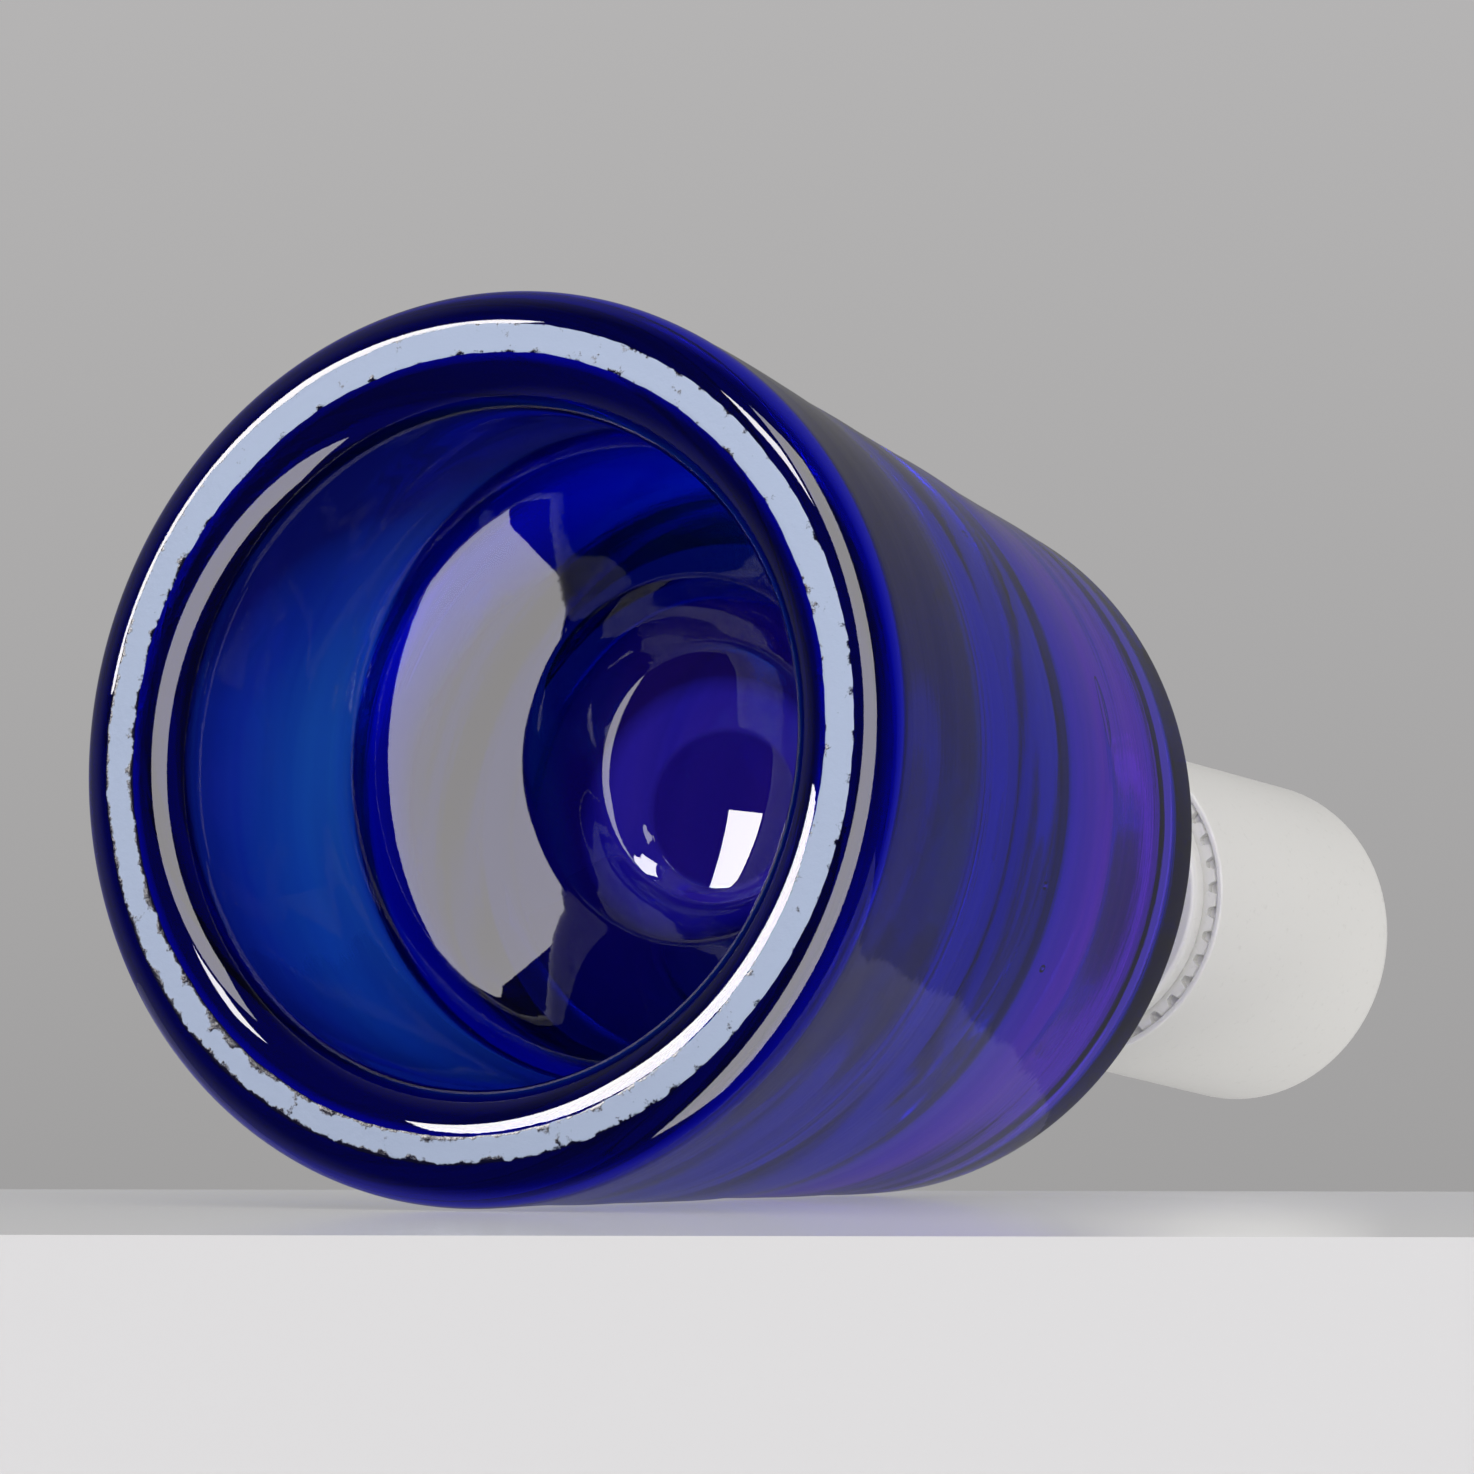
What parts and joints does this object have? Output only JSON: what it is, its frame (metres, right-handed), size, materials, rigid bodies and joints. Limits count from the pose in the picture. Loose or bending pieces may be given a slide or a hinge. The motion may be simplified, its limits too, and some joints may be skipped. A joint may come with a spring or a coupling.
{
  "type": "glass bottle with screw cap",
  "caption": "Hand-blown blue glass bottle with a tapered body, ground foot ring and deep domed base recess, closed by a plain white screw cap.",
  "frame": {"origin": "centre of the ground foot ring, on the ground", "axes": "+Z along the bottle's axis from foot to cap; X and Y are alike"},
  "size_m": [0.104, 0.104, 0.1964],
  "materials": {
    "blue_glass": "fire polished, with a ground foot ring",
    "white_plastic": "satin moulded",
    "liner_rubber": "matt"
  },
  "bodies": {
    "bottle": {"glass_bottle": "blue_glass", "neck_collar": "white_plastic"},
    "liner": {"seal_disc": "liner_rubber"},
    "cap": {"cap_shell": "white_plastic", "cap_insert": "white_plastic"}
  },
  "joints": [
    {"name": "cap_lift", "type": "slide", "parent": "bottle", "child": "liner", "axis": [0, 0, 1], "range_m": [0, 0.0075]},
    {"name": "cap_turn", "type": "hinge", "parent": "liner", "child": "cap", "pos_m": [0, 0, 0.17], "axis": [0, 0, 1], "range_deg": [0, 540]}
  ],
  "couplings": [
    {"joint": "cap_lift", "follows": "cap_turn", "m_per_rad": 0.00079577}
  ]
}
